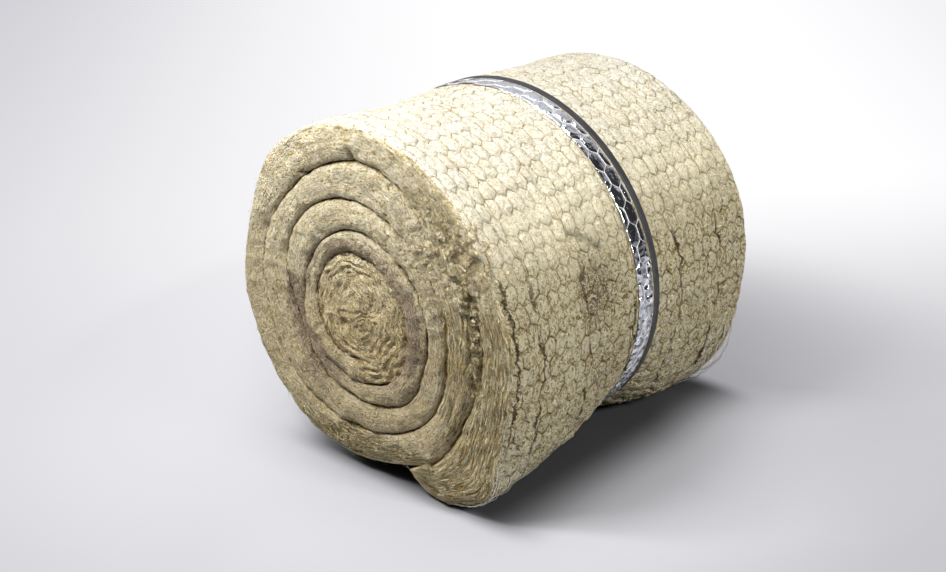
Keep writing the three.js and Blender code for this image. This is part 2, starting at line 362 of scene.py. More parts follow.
def in_cell(across, along):
    """The row and the cell of a place, how far on it is in both, and how far off the cell's wires."""
    row = np.minimum(np.floor(along), ROWS - 1)
    part = along - row
    to_zigzag = np.minimum(part, 1 - part) * ROW_PITCH * CREASE_SLANT
    column = across - 0.5 * (row % 2)
    cell = np.floor(column)
    sideways = column - cell
    return row, cell, part, sideways, to_zigzag, np.minimum(sideways, 1 - sideways) * MESH_WIDTH


def pad_height(across, along):
    """Height of the wool over the mat's plain outer face."""
    y = on_lattice(across, along)[1]
    row, cell, part, sideways, to_zigzag, to_side = in_cell(across, along)
    dome = 1 - (1 - clamp01(np.minimum(to_zigzag, to_side * 1.2 + 1.2) / 6.5)) ** 2
    own = CELL_RANDOM[row.astype(int) % (ROWS + 2), (cell.astype(int) + 1) % (CELLS_ACROSS + 3)]
    rough = rougher_and_shaded(along)
    fullness = 0.85 + (0.35 + 0.3 * rough) * own[..., 0] + 0.45 * lumps(y / 60, along * 0.45, 31)
    tilt = (1.8 + 1.6 * rough) * (own[..., 1] * (part - 0.5) + own[..., 2] * (sideways - 0.5))
    height = (PAD_RISE * fullness + tilt) * dome
    height = height - PAD_SINK * (0.9 + 0.5 * drift(y / 40, along * 0.8, 51))
    height = height + (0.6 + 1.3 * rough) * wrinkles.layered(y / 13, along * 2.3, 4, 3)
    height = height + 2.6 * lumps(y / 85, along * 0.35, 1.5)
    pulled = 0.0
    for k, seam in enumerate(SEAMS):
        middle = seam_at(seam, along)
        strength = 0.5 + 0.5 * drift(along * 0.4, seam * 0.13, 7)
        height = height - 2.2 * strength * bump(y, middle, 8)
        tightness = 0.75 + 0.5 * drift(along * 0.5, seam, 7)
        pulled = pulled + stitch_pull(k, along) * bump(y, middle, 7) * tightness
    height = height - 4.5 * pulled
    near_rim = 1 - smooth((HALF_WIDTH - 8 - np.abs(y)) / 10)
    height = mix(height, 0.35 * height, near_rim)
    at_gap = bump(along / ROWS, 0.235, 0.06)
    height = height + at_gap * (5 * bump(y, -272, 15) - 12 * bump(y, -291, 5))
    between = 1.7 * bump(y, FOIL_END + 2.5, 3)
    return mix(height, between - PRESSED_SINK, pressed(y))


def netted_radius(across, along):
    """(turn, y, radius) of the netted face."""
    turn, y = on_lattice(across, along)
    return turn, y, lap_radius(turn, y) + pad_height(across, along) - rim_rounding(turn, y)


# ---- Meshes ----

def new_mesh(name, points, faces, uv=None, looks=None, slots=None):
    """A smooth mesh from points in millimetres. uv holds one pair for each corner of each face."""
    mesh = bpy.data.meshes.new(name)
    mesh.from_pydata((np.asarray(points) * MM).tolist(), [], faces)
    if uv is not None:
        layer = mesh.uv_layers.new(name="weave")
        layer.data.foreach_set("uv", np.asarray(uv, np.float32).ravel())
    for key, values in (looks or {}).items():
        mesh.attributes.new(key, "FLOAT", "POINT").data.foreach_set("value", np.asarray(values, np.float32))
    if slots is not None:
        mesh.polygons.foreach_set("material_index", np.asarray(slots, np.int32))
    mesh.polygons.foreach_set("use_smooth", np.ones(len(mesh.polygons), bool))
    mesh.update()
    return mesh


def add_piece(name, points, faces, material, slot, **more):
    mesh = new_mesh(name, points, faces, **more)
    mesh.materials.append(material)
    piece = add_object(name, mesh)
    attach(piece, "root")
    return piece


class Faces:
    """Gathers faces with the texture place of each corner and a material slot."""

    def __init__(self):
        self.faces, self.uv, self.slots = [], [], []

    def grid(self, index, uv, slot):
        """Quads between neighbouring rows of point numbers. A repeated corner is left out."""
        for i in range(len(index) - 1):
            for j in range(len(index[i]) - 1):
                corners = [(i, j), (i + 1, j), (i + 1, j + 1), (i, j + 1)]
                self.face([index[a][b] for a, b in corners], [uv[a][b] for a, b in corners], slot)

    def face(self, corners, uv, slot):
        kept = [k for k in range(len(corners)) if corners[k] != corners[k - 1]]
        if len(kept) > 2:
            self.faces.append([int(corners[k]) for k in kept])
            self.uv.extend(uv[k] for k in kept)
            self.slots.append(slot)


# ---- The wool mat ----

ROW_PARTS = np.array([0, 0.1, 0.3, 0.5, 0.7, 0.9])              # mesh lines in a row of cells
COLUMN_PARTS = np.array([0, 0.125, 0.375, 0.5, 0.625, 0.875])   # mesh lines across a cell
PER_TURN = ROWS * len(ROW_PARTS)
LAP_PARTS = np.array([0, 0.045, 0.11, 0.2, 0.31, 0.43, 0.56, 0.68, 0.79, 0.885, 0.95, 1])
LAP_DRAWN = 58                  # a lap's thickness in the cut wool's texture
LAP_STEP = 90                   # from one lap to the next in it
NETTED, CUT = 0, 1              # material slots
KINDS = ("torn", "taupe", "soiled", "groove", "hollow", "dark", "layered", "core")

# The loose end beyond the lip, as (turn, share of the thickness): the torn face, tip and underside.
TAIL = [(0, 0), (-0.006, 0.10), (-0.012, 0.22), (-0.017, 0.36), (-0.022, 0.52), (-0.027, 0.68),
        (-0.030, 0.82), (-0.029, 0.90), (-0.020, 0.95), (-0.010, 0.98), (-0.004, 0.99), (0, 1)]


def mesh_turns(turns):
    steps = np.arange(int(round(turns * PER_TURN)) + 1)
    return (steps // len(ROW_PARTS) + ROW_PARTS[steps % len(ROW_PARTS)]) / ROWS


def rim_rounding(turn, y):
    """How far the netted face draws in towards the roll's rims."""
    inset = HALF_WIDTH - np.abs(y)
    edge = 4.5 * (1 - clamp01((inset - 4) / 7)) ** 2
    soft_side = np.where(y < 0, smooth((turn - 0.5) / 0.12) * (1 - smooth((turn - 0.97) / 0.03)), 0.6)
    return edge + 6 * soft_side * (1 - clamp01(inset / 42)) ** 2


def netted_face():
    """Points of the outer lap and of the loose end, one ring for each column, and their lattice places."""
    columns = (np.arange(CELLS_ACROSS)[:, None] + COLUMN_PARTS).ravel()
    inner = columns[(columns > 0.3) & (columns < CELLS_ACROSS - 0.3)]
    rim = (HALF_WIDTH - RIM) / MESH_WIDTH
    across = np.concatenate([[rim], inner, [CELLS_ACROSS - rim]])[:, None]
    across, along = np.broadcast_arrays(across, mesh_turns(1)[None, :] * ROWS)
    turn, y, radius = netted_radius(across, along)
    outer = place(turn, y, radius)

    tail_turn, tail_share = np.array(TAIL[1:-1], float)[::-1].T
    edge_y = y[:, :1]
    ragged = 0.004 * drift.layered(edge_y / 16.0, tail_share * 6.0, 41.0, 3)
    tail_at = tail_turn + ragged * smooth(-tail_turn / 0.006)
    lip, foot = radius[:, :1], radius[:, -1:]
    tail_radius = mix(lip, foot, tail_share) + 1.5 * lumps.layered(edge_y / 9, tail_share * 5, 3, 2)
    tail = place(tail_at, np.broadcast_to(edge_y, tail_radius.shape), tail_radius)
    return np.concatenate([outer, tail], 1), across, along


# The near end's torn patch (x, z and its half sizes), and the gap where its outer lap stands open.
TORN_PATCH = (182, 436, 115, 72)
GAP_X, GAP_LOW, GAP_HIGH = 217, 212, 388
MIDDLE_Z = 283                  # about how high the winding axis stands on the ends

# Brown stains on the netted face: y, angle, their half sizes and how strong they are.
STAINS = [(-98, 11, 54, 12, 1.25), (-60, -18, 70, 16, 0.5)]
# The small hole is painted dark as shade.
TEAR = (-131, 7, 4, 1.6)        # a small hole there


def spot(x, z, middle_x, middle_z, wide, high, reach=1):
    """1 in the middle of a round spot with these half sizes."""
    return bump(np.hypot((x - middle_x) / wide, (z - middle_z) / high), 0, reach)


def polar(x, z, middle_x=AXIS_X, middle_z=MIDDLE_Z):
    """Angle in degrees and distance of a place on an end, seen from its middle."""
    dx, dz = x - middle_x, z - middle_z
    return np.degrees(np.arctan2(dz, dx)), np.hypot(dx, dz)


def beside_gap(x, z):
    """Distance from the middle of the open gap."""
    return np.abs(x - GAP_X - 3 * drift(z / 40, 2, 5))


def near_zones(x, z):
    """How torn the wool of the near end is at a place on it, and 1 in the open gap between two laps."""
    gap = smooth((14 - beside_gap(x, z)) / 5) * smooth((z - GAP_LOW) / 20) * smooth((GAP_HIGH - z) / 14)
    return clamp01(1.4 * spot(x, z, *TORN_PATCH)), gap


def soiled(x, z):
    """1 where the outer lap is brown and hairy."""
    angle, distance = polar(x, z)
    angle = angle + 5 * drift.layered(x / 25, z / 25, 64, 2)
    reach = distance + 9 * drift.layered(x / 18, z / 18, 65, 2)
    return smooth((angle - 20) / 12) * smooth((72 - angle) / 14) * smooth((reach - 246) / 16)


def closed_up(x, z):
    """1 where the laps of the near end lie so close that no groove shows: on the left."""
    dx, dz = x - AXIS_X, z - MIDDLE_Z
    angle = np.degrees(np.arctan2(dz, -dx)) + 8 * drift.layered(x / 40, z / 40, 71, 2)
    return bump(angle, -4, 48) * smooth((np.hypot(dx, dz) - 150) / 30)


def side_marks(y, along):
    """How stained the netted face is, where a crease and a small hole are painted dark as shade, and where it
    is rougher and painted darker low down, partly as shade.
    """
    angle = side_angle(along)
    stained = np.max([strength * spot(y, angle, *stain) for *stain, strength in STAINS], 0)
    # A long crease and a small hole, both painted dark as shade.
    crease = bump((y + 90) / 7 + angle - 26, 0, 1.6) * smooth((y + 124) / 8) * smooth((-56 - y) / 8)
    dark = clamp01(0.6 * crease + 0.8 * spot(y, angle, *TEAR))
    return clamp01(stained), dark, rougher_and_shaded(along)


# Holes and notches in the near end: x, z and their half sizes.
DARK_SPOTS = [(-16, 545, 4, 12), (214, 374, 6, 7), (-124, 493, 15, 4), (-34, 258, 9, 3), (222, 300, 3, 8),
              (-4, 452, 2.5, 2.5), (-30, 577, 2.5, 2.5), (66, 516, 4, 3)]


def spotted(x, z):
    """1 in the holes and notches of the near end."""
    return np.max([spot(x, z, *hole, 1.1) for hole in DARK_SPOTS], 0)


# Greyer bands of wool round the near end's core: from and to an angle, from and to a radius, strength.
TAUPE_PATCHES = [
    (-42, 34, 88, 132, 1), (-88, -38, 98, 130, 0.7), (28, 128, 92, 126, 0.85),
    (128, 172, 112, 134, 0.7), (168, 236, 134, 170, 1), (208, 246, 116, 150, 0.9),
    (222, 238, 150, 190, 0.8), (-75, 5, 132, 164, 0.4), (240, 285, 112, 140, 0.35),
]


def taupe(x, z):
    """1 in the greyer bands of wool on the near end."""
    angle, distance = polar(x, z, -18, 285)
    edge = 5 * drift.layered(x / 16, z / 16, 55, 2)
    total = 0.0
    for from_angle, to_angle, from_radius, to_radius, strength in TAUPE_PATCHES:
        middle, half = (from_angle + to_angle) / 2, (to_angle - from_angle) / 2
        off = np.abs((angle - middle + 180) % 360 - 180)
        band = smooth((distance + edge - from_radius) / 4) * smooth((to_radius - distance - edge) / 4)
        total = np.maximum(total, strength * smooth((half - off) / 9 + 0.5) * band)
    return total


LAP_ROUNDING = 20               # how far in from its edges a lap's cut end is rounded


def rounded(distance, reach):
    """0 at a lap's flat cut end and 1 at its edge, as a quarter circle."""
    return 1 - np.sqrt(1 - (1 - clamp01(distance / reach)) ** 2)


def end_depth(side, turn, share, x, z, thickness):
    """How far the cut end lies back from the mat's full width."""
    seed = 0.0 if side < 0 else 60.0
    angle = angle_at(turn)
    loop = (np.cos(angle) * 2.2, np.sin(angle) * 2.2)
    groove = 11 + 7 * drift(loop[0] * 1.7, loop[1] * 1.7, turn * 0.9 + seed)
    holes = torn = gap = 0.0
    if side < 0:
        groove = groove * (1 - 0.6 * closed_up(x, z))
        holes = 9 * spotted(x, z)
        torn, gap = near_zones(x, z)
    outside_depth = mix(6, groove, smooth((turn - 0.96) / 0.04))
    reach = LAP_ROUNDING * (1 + 0.35 * drift(loop[0], loop[1], turn + seed + 40))
    grooves = (outside_depth * rounded(share * thickness, reach)
               + groove * rounded((1 - share) * thickness, reach))
    depth = grooves * (1 - 0.75 * torn) + holes
    proud = 3.5 * drift(loop[0] * 0.7, loop[1] * 0.7, turn * 1.7 + seed + 20)
    depth = depth + proud * humped(clamp01(share)) ** 0.5
    depth = depth + 3.6 * lumps.layered(x / 30, z / 30, seed + 2, 4, 0.6)
    streak = wrinkles.layered(turn * 9 + seed, share * 7, x * 0.004, 2)
    depth = depth + 1.6 * streak * humped(clamp01(share)) ** 0.3
    depth = depth + torn * (1 + 8 * lumps.layered(x / 19, z / 19, 8, 4, 0.6))
    depth = depth + 12 * gap * bump(beside_gap(x, z), 10, 4)
    return depth + gap * (5 + 8 * lumps.layered(x / 9, z / 12, 18, 2))


def core_folds(side, x, z):
    """Places along and across the folds of the crumpled start, in millimetres."""
    seed = 0.0 if side < 0 else 40.0
    centre_x, centre_z = (-26, 290) if side < 0 else (-22, 275)
    dx, dz = x - centre_x, z - centre_z
    distance = np.hypot(dx * 1.08, dz * 0.94)
    warp = 10 * drift.layered(x / 40, z / 40, seed + 3, 2)
    chevron = 40 + dz + 0.8 * np.abs(dx + 0.5 * dz - 4) + warp * 1.5
    inner = 1 - smooth((distance - 32) / 26)
    return mix(np.arctan2(dz, dx) * 55, dx * 1.2, inner), mix(distance + warp, chevron, inner)


def core_depth(side, x, z):
    """How far the crumpled start of the mat lies back."""
    seed = 0.0 if side < 0 else 40.0
    across = core_folds(side, x, z)[1]
    broad = np.sin(across * 2 * np.pi / 13 + 2 * drift(x / 30, z / 30, seed + 9))
    depth = 4.5 - 3 * broad * (0.6 + 0.8 * drift(x / 25, z / 25, seed + 8))
    depth = depth + 3 * lumps.layered(x / 26, z / 26, seed + 2, 3)
    return depth + 9 * bump(np.hypot(x + 58, z - 257), 0, 10) * (side < 0)


CORE_SPACING = 3.2
FOLD_PITCH = 0.0058             # metres between two folds of the crumpled start
BEAD_PITCH = 0.014              # metres between two beads of wool in the open gap


def core_grid(outline):
    """Points of a staggered grid that lie inside an outline, a little clear of it."""
    low, high = outline.min(0), outline.max(0)
    rows = np.arange(low[1], high[1], CORE_SPACING * 0.87)
    columns = np.arange(low[0], high[0], CORE_SPACING)
    x = np.concatenate([columns + (k % 2) * CORE_SPACING / 2 for k in range(len(rows))])
    z = np.repeat(rows, len(columns))
    inside = np.zeros(len(x), bool)
    for (ax, az), (bx, bz) in zip(outline, np.roll(outline, -1, 0)):
        crosses = (az > z) != (bz > z)
        with np.errstate(divide="ignore", invalid="ignore"):
            inside ^= crosses & (x < ax + (z - az) / (bz - az) * (bx - ax))
    clear = np.min(np.hypot(x[:, None] - outline[:, 0], z[:, None] - outline[:, 1]), 1)
    keep = inside & (clear > CORE_SPACING * 0.6)
    return np.stack([x[keep], z[keep]], -1)


def end_strip(side, ring, points, faces, looks):
    """The laps' cut ends, as one strip wound in to the crumpled start, then that start itself."""
    y_end, y_rim = side * HALF_WIDTH, side * (HALF_WIDTH - END_INSET)
    lap = slice(PER_TURN + 1)
    turns, grooves = mesh_turns(TURNS_ON_END), mesh_turns(TURNS_ON_END + 1)
    count = len(turns)
    height = float(np.interp(y_rim, STATIONS, HEIGHTS))
    # The netted face has placed the first turn's points already.
    rim = np.array([points[i] for i in ring[lap]])
    rim_x, rim_z = rim[:, 0] - AXIS_X, rim[:, 2] - height
    radii = lap_radius(grooves, np.full_like(grooves, y_rim))
    radii[lap] = np.hypot(rim_x, rim_z)
    rim_turns = (np.arctan2(rim_z, rim_x) - math.radians(LOOSE_END_ANGLE)) / (2 * np.pi)
    at = grooves.copy()
    at[lap] = at[lap] + (rim_turns - at[lap] + 0.5) % 1 - 0.5

    def add(x, depth, z, kinds):
        """Adds points with their looks, and gives their numbers."""
        first = len(points)
        points.extend(np.stack([x, y_end - side * depth, z], -1).reshape(-1, 3).tolist())
        for key in looks:
            looks[key].extend(np.broadcast_to(kinds.get(key, 0), x.shape).ravel().tolist())
        return np.arange(first, len(points)).reshape(x.shape)

    def marks(turn, share, x, z):
        to_edge = np.minimum(share, 1 - share)
        if side > 0:
            return {"layered": 0.4, "groove": np.exp(-to_edge * 14)}
        torn, gap = near_zones(x, z)
        # Nearness to a lap's edge, where the material paints the gap between laps dark as shade.
        edge = np.exp(-to_edge * 22) * (1 - 0.9 * torn) * (1 - gap)
        edge = np.where((turn < 1) & (share < 0.5), 0, edge) * (1 - 0.8 * closed_up(x, z))
        # Layered wool on the lower right and at the bottom, which the material also paints a little darker,
        # as shade.
        layered = 0.25 + 0.75 * smooth((x - 124) / 40) * smooth((400 - z) / 60)
        layered = np.maximum(layered, smooth((110 - z) / 50)) * (1 - torn)
        # hollow and dark mark where the material paints the open gap and the holes dark as shade.
        return {"torn": torn, "taupe": taupe(x, z), "soiled": soiled(x, z), "groove": edge,
                "hollow": gap, "layered": layered, "dark": spotted(x, z)}

    def add_on_lap(turn, angle, radius, share, thickness):
        x, z = AXIS_X + radius * np.cos(angle), height + radius * np.sin(angle)
        return add(x, end_depth(side, turn, share, x, z, thickness), z, marks(turn, share, x, z))

    inner = grooves[PER_TURN + 1:]
    made = add_on_lap(inner, angle_at(inner), radii[PER_TURN + 1:], 0, 55)
    groove = [*ring[lap], *made.tolist()]
    share, turn = LAP_PARTS[1:-1], turns[:, None]
    outer_r, inner_r = radii[:count, None], radii[PER_TURN:PER_TURN + count, None]
    outer_t, inner_t = at[:count, None], at[PER_TURN:PER_TURN + count, None] - 1
    wobble = 1.3 * drift.layered(turn * 14, share * 3 + np.floor(turn) * 7, 31 * side, 2)
    radius = mix(outer_r, inner_r, share) + wobble * humped(share)
    middle = add_on_lap(turn, angle_at(mix(outer_t, inner_t, share)), radius, share, outer_r - inner_r)
    strip = np.column_stack([groove[:count], middle, groove[PER_TURN:PER_TURN + count]])
    along = np.concatenate([[0], np.cumsum(np.diff(turns) * 2 * np.pi * radii[:count - 1])])
    uv = np.stack(np.broadcast_arrays(along[:, None], LAP_PARTS * LAP_DRAWN + np.floor(turn) * LAP_STEP), -1)
    faces.grid(strip.tolist(), (uv * MM).tolist(), CUT)

    # The loose end's own cut face, between the lip, the torn tail and the strip's first line.
    edge_line = [ring[0], *ring[:PER_TURN:-1], ring[PER_TURN]]
    tail, first = (np.array([points[i] for i in line]) for line in (edge_line, strip[0]))
    lines = [edge_line]
    for part in (0.3, 0.65):
        x, _, z = mix(tail, first, part)[1:-1].T
        depth = end_depth(side, -0.01, share, x, z, 62) * 0.8 + 3 * (1 - part)
        lines.append([ring[0], *add(x, depth, z, marks(0, share, x, z)).tolist(), ring[PER_TURN]])
    lines.append(strip[0].tolist())
    spots = np.linspace(-0.05, 0, len(lines))
    uv = np.stack(np.broadcast_arrays(spots[:, None], LAP_PARTS * LAP_DRAWN * MM), -1)
    faces.grid(lines, uv.tolist(), CUT)

    # The crumpled start, inside the last lap.
    loop = [*groove[count - 1:count + PER_TURN], *strip[-1][-2:0:-1].tolist()]
    outline = np.array([points[i] for i in loop])[:, [0, 2]]
    ring_edges = [(k, (k + 1) % len(loop)) for k in range(len(loop))]
    flat_points = [Vector(p) for p in np.vstack([outline, core_grid(outline)])]
    found = delaunay_2d_cdt(flat_points, ring_edges, [], 1, 1e-4)
    where, corners, origin = np.array([tuple(p) for p in found[0]]), found[2], found[3]
    numbers = [loop[o[0]] if o and o[0] < len(loop) else -1 for o in origin]
    fresh = [k for k, n in enumerate(numbers) if n < 0]
    x, z = where[fresh].T
    last_lap = outline[:PER_TURN - 8]
    edge = np.min(np.hypot(x[:, None] - last_lap[:, 0], z[:, None] - last_lap[:, 1]), 1)
    depth = core_depth(side, x, z) + 7 * np.exp(-edge / 5)
    # Painted shade along the crumpled start's edge, where it meets the last lap, and in its holes.
    dark = 0.8 * np.exp(-edge / 3)
    if side < 0:
        dark = np.maximum(dark, spotted(x, z))
    for k, number in zip(fresh, add(x, depth, z, {"dark": dark, "core": 1})):
        numbers[k] = number
    folds = np.stack(core_folds(side, *where.T), -1) * MM
    for corner in corners:
        faces.face([numbers[k] for k in corner], [folds[k] for k in corner], CUT)


def make_wool_mat(materials):
    rings, across, along = netted_face()
    count, around = rings.shape[:2]
    lap = PER_TURN + 1
    points = rings.reshape(-1, 3).tolist()
    numbers = np.arange(count * around).reshape(count, around)
    looks = {key: [0.0] * len(points) for key in KINDS}
    for key, values in zip(("torn", "dark", "layered"), side_marks(rings[:, :lap, 1], along)):
        whole = np.zeros((count, around))
        whole[:, :lap] = values
        looks[key] = whole.ravel().tolist()

    faces = Faces()
    uv = np.stack([across, along], -1)
    faces.grid(numbers[:, :lap].T.tolist(), uv.transpose(1, 0, 2).tolist(), NETTED)
    tail = np.column_stack([numbers[:, PER_TURN:], numbers[:, :1]])
    tail_uv = np.stack(np.broadcast_arrays(
        np.linspace(0, 0.6, count)[:, None], np.linspace(0, 0.07, tail.shape[1])[None, :]), -1)
    faces.grid(tail.T.tolist(), tail_uv.transpose(1, 0, 2).tolist(), CUT)
    end_strip(-1, numbers[0].tolist(), points, faces, looks)
    end_strip(1, numbers[-1].tolist(), points, faces, looks)

    mesh = new_mesh("wool_roll", points, faces.faces, faces.uv, looks, faces.slots)
    for material in materials:
        mesh.materials.append(material)
    work = bmesh.new()
    work.from_mesh(mesh)
    bmesh.ops.recalc_face_normals(work, faces=work.faces)
    if work.calc_volume(signed=True) < 0:
        bmesh.ops.reverse_faces(work, faces=work.faces)
    bmesh.ops.triangulate(work, faces=work.faces)
    work.to_mesh(mesh)
    work.free()
    return add_object("wool_roll", mesh)


# ---- Materials ----

def srgb(red, green, blue):
    """Scene colour for a colour given as 0 to 255 on screen."""
    def linear(value):
        value /= 255
        return value / 12.92 if value <= 0.04045 else ((value + 0.055) / 1.055) ** 2.4
    return (linear(red), linear(green), linear(blue), 1)


def operator(operation):
    return lambda value, other=0: value.nodes.math(operation, value, other)


class Value:
    """A node's output, which can be reckoned with."""

    def __init__(self, nodes, socket):
        self.nodes, self.socket = nodes, socket

    __add__, __sub__, __mul__ = operator("ADD"), operator("SUBTRACT"), operator("MULTIPLY")
    __truediv__, __mod__, __abs__ = operator("DIVIDE"), operator("MODULO"), operator("ABSOLUTE")

    def __rsub__(self, other):
        return self.nodes.math("SUBTRACT", other, self)

    def ramp(self, low, high, to_low=0, to_high=1):
        """A soft step, from to_low at low to to_high at high."""
        inputs = {"Value": self, "From Min": low, "From Max": high, "To Min": to_low, "To Max": to_high}
        return self.nodes.out("MapRange", "Result", inputs, interpolation_type="SMOOTHSTEP")


def most(first, *others):
    """The largest of some values."""
    for other in others:
        first = first.nodes.math("MAXIMUM", first, other)
    return first


def least(a, b):
    return a.nodes.math("MINIMUM", a, b)


def span(at, where, width):
    """1 at a value, falling to 0 over a width on either side."""
    return abs(at - where).ramp(width, 0)


class Nodes:
    """A short way to write the node tree of a material or a world. Colours are given as 0 to 255."""

    def __init__(self, owner):
        owner.use_nodes = True
        self.owner, self.tree = owner, owner.node_tree

    def out(self, kind, output, inputs=None, **settings):
        """One output of a new node."""
        made = self.tree.nodes.new("ShaderNode" + kind)
        for key, value in settings.items():
            setattr(made, key, value)
        self.fill(made, inputs or {})
        return Value(self, made.outputs[output])

    def fill(self, node, inputs):
        for key, value in inputs.items():
            socket = node.inputs[key]
            if isinstance(value, Value):
                self.tree.links.new(value.socket, socket)
            else:
                socket.default_value = srgb(*value) if socket.type == "RGBA" else value

    def shade(self, **inputs):
        """Sets the surface's inputs, with their names in small letters, and gives the material."""
        shader = self.tree.nodes["Principled BSDF"]
        names = {key.lower().replace(" ", "_"): key for key in shader.inputs.keys()}
        self.fill(shader, {names[key]: value for key, value in inputs.items()})
        return self.owner

    def math(self, operation, a, b=0):
        return self.out("Math", 0, {0: a, 1: b}, operation=operation)

    def noise(self, scale, detail=3, roughness=0.55, distortion=0, vector=None):
        """Noise over the place in the part, or over another vector."""
        inputs = {"Vector": vector or self.place(), "Scale": scale, "Detail": detail,
                  "Roughness": roughness, "Distortion": distortion}
        return self.out("TexNoise", "Fac", inputs)

    def cells(self, vector, scale, feature="F1"):
        return self.out("TexVoronoi", "Distance", {"Vector": vector, "Scale": scale}, feature=feature)

    def mixed(self, share, a, b):
        return self.out("Mix", 2, {0: share, 6: a, 7: b}, data_type="RGBA")

    def painted(self, colour, *coats):
        """A colour under coats of (share, colour), each over the ones before."""
        for share, coat in coats:
            colour = self.mixed(share, colour, coat)
        return colour

    def attribute(self, name):
        return self.out("Attribute", "Fac", attribute_name=name)

    def place(self):
        return self.out("TexCoord", "Object")

    def weave(self):
        return self.out("UVMap", "UV", uv_map="weave")

    def split(self, vector):
        """The x, y and z of a vector or colour."""
        first = self.out("SeparateXYZ", 0, {0: vector})
        return [Value(self, socket) for socket in first.socket.node.outputs]

    def stretched(self, vector, scale):
        return self.out("Mapping", "Vector", {"Vector": vector, "Scale": scale})

    def bumps(self, *layers):
        """The normal under layers of (height, distance, strength), each over the ones before."""
        under = {}
        for height, distance, strength in layers:
            inputs = {"Height": height, "Distance": distance, "Strength": strength, **under}
            under = {"Normal": self.out("Bump", "Normal", inputs)}
        return under["Normal"]


def material(name):
    return Nodes(bpy.data.materials.new(name))


def wool(n, colour, grain, normal):
    """Wool has no shine, and is a little duller where it is dark."""
    richness = n.split(colour)[1].ramp(0.1, 0.6, 0.97, 1.03)
    colour = n.out("HueSaturation", "Color", {"Color": colour, "Saturation": richness})
    return n.shade(base_color=colour, roughness=grain.ramp(0.3, 0.7, 0.85, 1), ior=1, normal=normal)


def netted_wool():
    """Pale wool under the netting: smooth pads between thin creases painted dark olive as shade, rougher and
    darker lower down, whiter on top as painted light.
    """
    n = material("netted_wool")
    weave = n.weave()
    right_m, depthwise, height_m = n.split(n.place())
    across, along, _ = n.split(weave)
    part = n.math("FRACT", along)
    to_zigzag = least(part, 1 - part) * (ROW_PITCH * CREASE_SLANT)
    sideways = n.math("FRACT", across - n.math("FLOOR", along) % 2 * 0.5 + 4)
    to_side = least(sideways, 1 - sideways) * MESH_WIDTH
    rough, torn = n.attribute("layered"), n.attribute("torn")
    broad = n.noise(17, 3)
    blotch = n.noise(48, 5, 0.65)
    crumple = n.noise(110, 5, 0.66, 0.7)
    streaks = n.noise(1, 5, 0.74, 1, vector=n.stretched(weave, (8, 5, 1)))
    wrinkle = n.noise(170, 4, 0.66, 1.1)
    grain = n.noise(420, 3, 0.6)

    frays = (n.noise(130, 3) - 0.5) * 3.4
    wide = rough * 0.5 + 1.1
    # Painted shade: dark lines in the creases, and a softer shade on the pads' slopes beside them.
    crease = ((to_zigzag + frays) / wide).ramp(1, 0)
    side_line = ((to_side + frays) / wide).ramp(0, 0.95, 0.85, 0)
    line = most(crease, side_line) * broad.ramp(0.3, 0.55, 0.4, 1) * blotch.ramp(0.36, 0.52, 0.45, 1)
    slope = (least(to_zigzag, to_side + 1) + frays).ramp(4, 0.2)

    # Cracks where the stitches have pulled the wool apart, low on the side, and where the outer lap has come
    # away at the rim, all painted dark as shade.
    at_y = depthwise + (n.noise(28, 4, 0.6) - 0.5) * 0.04
    seam_line = most(*(abs(at_y - seam * MM).ramp(0.0036, 0.0009) for seam in SEAMS))
    pulled = height_m.ramp(0.47, 0.33) * n.noise(13, 2).ramp(0.4, 0.5)
    pulled = pulled * right_m.ramp(-0.1, 0.12, 0.3, 1)
    at_rim = depthwise + (n.noise(70, 3, 0.6) - 0.5) * 0.016
    rim_width = blotch.ramp(0.4, 0.62, 0.0012, 0.0042)
    rim_line = (abs(at_rim - RIM_CRACK * MM) / rim_width).ramp(1, 0.3)
    rim_shown = height_m.ramp(0.45, 0.39) * height_m.ramp(0.1, 0.18) * right_m.ramp(0.05, 0.12)
    seam_line = most(seam_line * pulled, rim_line * rim_shown)

    # Painted light: the wool's colour is whiter towards the top and its crease lines are paler there.
    high = height_m.ramp(0.34, 0.6)
    # Darker coats weigh more low on the side: partly its rougher wool, partly painted shade.
    shade, fine = rough * 0.5 + 0.26, rough * 0.5 + 0.42
    mottles = n.noise(150, 5, 0.74, 2.2).ramp(0.49, 0.53, 0.05, 1)
    colour = n.painted(
        n.mixed(high, (255, 242, 198), (255, 251, 238)),
        (broad.ramp(0.35, 0.68, 0, 0.4), (240, 231, 202)),
        (blotch.ramp(0.5, 0.7) * shade, (206, 187, 134)),
        (streaks.ramp(0.5, 0.3) * shade, (182, 160, 104)),
        # painted shade in the troughs of the crumples and wrinkles, and a painted highlight on the wrinkles'
        # crests
        (crumple.ramp(0.46, 0.3) * shade, (160, 138, 84)),
        (wrinkle.ramp(0.475, 0.42) * fine, (152, 128, 76)),
        (wrinkle.ramp(0.52, 0.58) * fine, (255, 250, 228)),
        (grain.ramp(0.5, 0.75, 0, 0.35), (186, 164, 108)),
        # painted shade on the pads' slopes and in the creases, darker lower down
        (slope * (rough * 0.3 + 0.22), (176, 152, 94)),
        (line * (rough * 0.15 + 0.75), n.mixed(high, (72, 50, 16), (146, 112, 46))),
        # painted shade in the cracks
        (seam_line * 0.88, (60, 44, 20)),
        (torn * mottles * 0.9, (92, 62, 30)),
        # painted shade in a crease and a small hole
        (n.attribute("dark") * 0.85, (58, 43, 22)),
    )
    normal = n.bumps(
        (most(line, seam_line * 2.5), -0.0018, 1), (crumple, 0.014, 1),
        (crumple * (rough + torn), 0.016, 1), (streaks, 0.003, 1), (wrinkle, 0.018, 1),
        (grain, 0.0014, 0.8),
    )
    return wool(n, colour, grain, normal)


